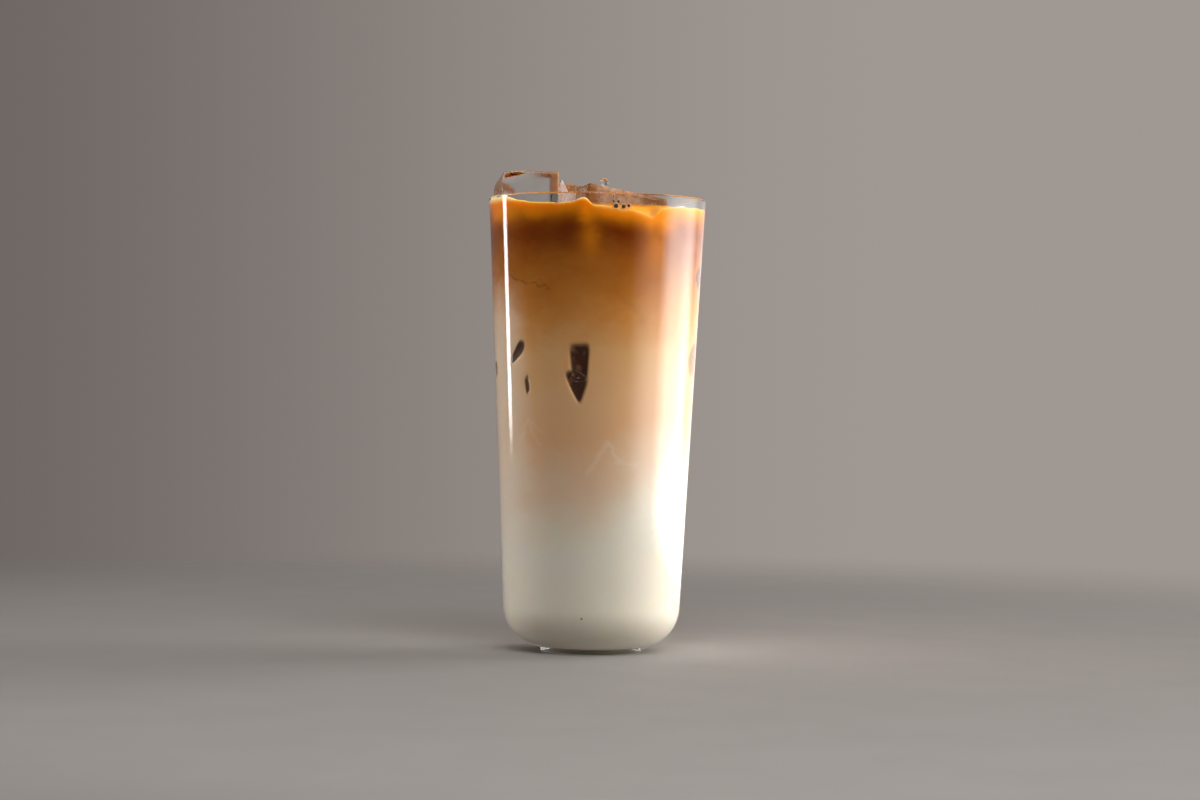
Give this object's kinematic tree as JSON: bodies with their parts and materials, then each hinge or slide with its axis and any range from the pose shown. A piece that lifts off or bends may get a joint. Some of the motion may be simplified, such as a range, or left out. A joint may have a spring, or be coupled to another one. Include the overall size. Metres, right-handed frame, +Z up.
{
  "type": "iced latte in a glass",
  "caption": "Tall tapered tumbler on a low foot, filled near its rim with a layered milk and coffee drink, with ice cubes standing out of the top.",
  "frame": {"origin": "on the table, under the middle of the glass's foot", "axes": "+Z up through the glass's axis; the shown side faces -Y, with +X to its right"},
  "size_m": [0.072, 0.072, 0.1597],
  "materials": {
    "clear_glass": "thin clear smooth glass, polished",
    "milk": "cold milk, opaque, slightly warm white, with a trace of coffee",
    "latte": "milky coffee, opaque, caramel fading into the milk below in soft clouds",
    "espresso": "clear dark amber coffee, glowing orange at its thin edges",
    "clear_ice": "clear melting ice, wet and rounded, with a film of coffee along its edges"
  },
  "bodies": {
    "root": {"glass": "clear_glass", "milk": "milk", "latte": "latte", "espresso": "espresso", "ice_left": "clear_ice", "ice_right": "clear_ice", "ice_back": "clear_ice"}
  },
  "joints": []
}
